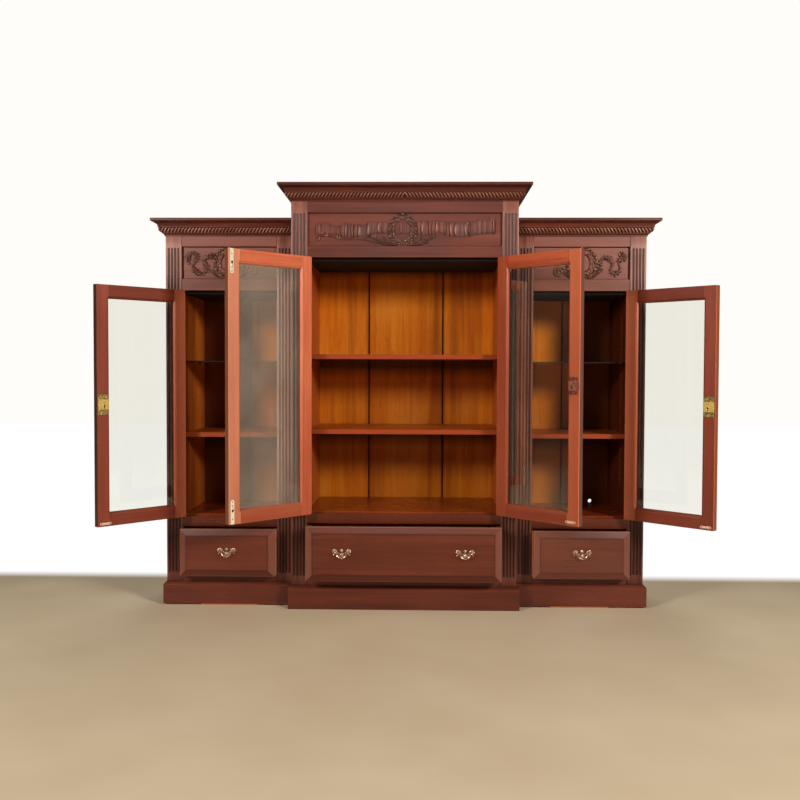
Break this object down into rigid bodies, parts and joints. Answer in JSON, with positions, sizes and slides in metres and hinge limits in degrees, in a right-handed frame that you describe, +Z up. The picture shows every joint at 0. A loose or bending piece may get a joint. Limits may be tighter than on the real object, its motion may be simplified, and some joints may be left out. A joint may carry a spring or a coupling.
{
  "type": "breakfront bookcase",
  "caption": "Carved mahogany breakfront bookcase: raised centre and lower wings, glazed doors, fluted pilasters, frieze and cornice, shelves inside, drawers below.",
  "frame": {"origin": "on the floor plane, under the plinth board at the middle of the centre section, in the plane of the centre pilaster faces", "axes": "+X to the right as seen from the front, +Y to the back, +Z up; the front faces -Y"},
  "size_m": [2.2992, 0.7493, 1.666],
  "materials": {
    "case_wood": "polished dark mahogany, red brown",
    "plinth_wood": "polished dark mahogany",
    "door_wood": "polished red mahogany",
    "drawer_front_wood": "polished dark mahogany",
    "floor_wood": "polished red mahogany, scratched",
    "shelf_wood": "varnished amber softwood",
    "back_wood": "varnished amber boards",
    "drawer_box_wood": "bare secondary wood",
    "door_glass": "clear old window glass",
    "shelf_glass": "clear glass with a green edge",
    "bright_brass": "polished brass",
    "antique_brass": "aged brass",
    "dark_bronze": "dark oxidised brass"
  },
  "bodies": {
    "root": {"back_boards": "back_wood", "centre_cornice": "case_wood", "centre_floor": "floor_wood", "centre_frieze": "case_wood", "centre_left_pilaster": "case_wood", "centre_lower_shelf": "shelf_wood", "centre_plinth": "plinth_wood", "centre_right_pilaster": "case_wood", "centre_upper_shelf": "shelf_wood", "left_cornice": "case_wood", "left_divider": "case_wood", "left_end_upright": "case_wood", "left_floor": "floor_wood", "left_frieze": "case_wood", "left_glass_shelf": "shelf_glass", "left_inner_pilaster": "case_wood", "left_outer_pilaster": "case_wood", "left_plinth": "plinth_wood", "left_wood_shelf": "shelf_wood", "right_cornice": "case_wood", "right_divider": "case_wood", "right_end_upright": "case_wood", "right_floor": "floor_wood", "right_frieze": "case_wood", "right_glass_shelf": "shelf_glass", "right_inner_pilaster": "case_wood", "right_outer_pilaster": "case_wood", "right_plinth": "plinth_wood", "right_wood_shelf": "shelf_wood"},
    "left_door": {"left_door_frame": "door_wood", "left_door_glass": "door_glass", "left_lock_case": "bright_brass"},
    "centre_left_door": {"centre_left_door_frame": "door_wood", "centre_left_door_glass": "door_glass"},
    "centre_right_door": {"centre_right_door_frame": "door_wood", "centre_right_door_glass": "door_glass", "centre_lock_case": "dark_bronze"},
    "right_door": {"right_door_frame": "door_wood", "right_door_glass": "door_glass", "right_lock_case": "bright_brass"},
    "left_drawer": {"left_drawer_front": "drawer_front_wood", "left_drawer_box": "drawer_box_wood", "left_pull_plate": "antique_brass"},
    "centre_drawer": {"centre_drawer_front": "drawer_front_wood", "centre_drawer_box": "drawer_box_wood", "centre_left_pull_plate": "antique_brass", "centre_right_pull_plate": "antique_brass"},
    "right_drawer": {"right_drawer_front": "drawer_front_wood", "right_drawer_box": "drawer_box_wood", "right_pull_plate": "antique_brass"},
    "left_bail": {"left_pull_bail": "antique_brass"},
    "centre_left_bail": {"centre_left_pull_bail": "antique_brass"},
    "centre_right_bail": {"centre_right_pull_bail": "antique_brass"},
    "right_bail": {"right_pull_bail": "antique_brass"},
    "upper_bolt": {"upper_flush_bolt": "bright_brass"},
    "lower_bolt": {"lower_flush_bolt": "bright_brass"},
    "left_lock_slide": {"left_lock_bolt": "bright_brass"},
    "centre_lock_slide": {"centre_lock_bolt": "dark_bronze"},
    "right_lock_slide": {"right_lock_bolt": "bright_brass"}
  },
  "joints": [
    {"name": "left_door_hinge", "type": "hinge", "parent": "root", "child": "left_door", "pos_m": [-0.8875, 0.051, 0.355], "axis": [0, 0, -1], "range_deg": [-134, 36]},
    {"name": "centre_left_door_hinge", "type": "hinge", "parent": "root", "child": "centre_left_door", "pos_m": [-0.38, -0.005, 0.3765], "axis": [0, 0, -1], "range_deg": [-135.5, 34.5]},
    {"name": "centre_right_door_hinge", "type": "hinge", "parent": "root", "child": "centre_right_door", "pos_m": [0.38, -0.005, 0.3765], "axis": [0, 0, 1], "range_deg": [-136.5, 33.5]},
    {"name": "right_door_hinge", "type": "hinge", "parent": "root", "child": "right_door", "pos_m": [0.8875, 0.051, 0.355], "axis": [0, 0, 1], "range_deg": [-136, 34]},
    {"name": "left_drawer_slide", "type": "slide", "parent": "root", "child": "left_drawer", "axis": [0, -1, 0], "range_m": [-0.061, 0.239]},
    {"name": "centre_drawer_slide", "type": "slide", "parent": "root", "child": "centre_drawer", "axis": [0, -1, 0], "range_m": [-0.08, 0.22]},
    {"name": "right_drawer_slide", "type": "slide", "parent": "root", "child": "right_drawer", "axis": [0, -1, 0], "range_m": [-0.061, 0.239]},
    {"name": "left_bail_swing", "type": "hinge", "parent": "left_drawer", "child": "left_bail", "pos_m": [-0.69825, -0.023, 0.2285], "axis": [-1, 0, 0], "range_deg": [0, 85]},
    {"name": "centre_left_bail_swing", "type": "hinge", "parent": "centre_drawer", "child": "centre_left_bail", "pos_m": [-0.2375, -0.098, 0.241], "axis": [-1, 0, 0], "range_deg": [0, 85]},
    {"name": "centre_right_bail_swing", "type": "hinge", "parent": "centre_drawer", "child": "centre_right_bail", "pos_m": [0.2375, -0.098, 0.241], "axis": [-1, 0, 0], "range_deg": [0, 85]},
    {"name": "right_bail_swing", "type": "hinge", "parent": "right_drawer", "child": "right_bail", "pos_m": [0.69825, -0.023, 0.2285], "axis": [-1, 0, 0], "range_deg": [0, 85]},
    {"name": "upper_bolt_slide", "type": "slide", "parent": "centre_left_door", "child": "upper_bolt", "axis": [0, 0, 1], "range_m": [0, 0.01]},
    {"name": "lower_bolt_slide", "type": "slide", "parent": "centre_left_door", "child": "lower_bolt", "axis": [0, 0, -1], "range_m": [0, 0.01]},
    {"name": "left_lock_throw", "type": "slide", "parent": "left_door", "child": "left_lock_slide", "axis": [-0.6947, -0.7193, 0], "range_m": [0, 0.007]},
    {"name": "centre_lock_throw", "type": "slide", "parent": "centre_right_door", "child": "centre_lock_slide", "axis": [0.7254, -0.6884, 0], "range_m": [0, 0.007]},
    {"name": "right_lock_throw", "type": "slide", "parent": "right_door", "child": "right_lock_slide", "axis": [0.7193, -0.6947, 0], "range_m": [0, 0.007]}
  ]
}
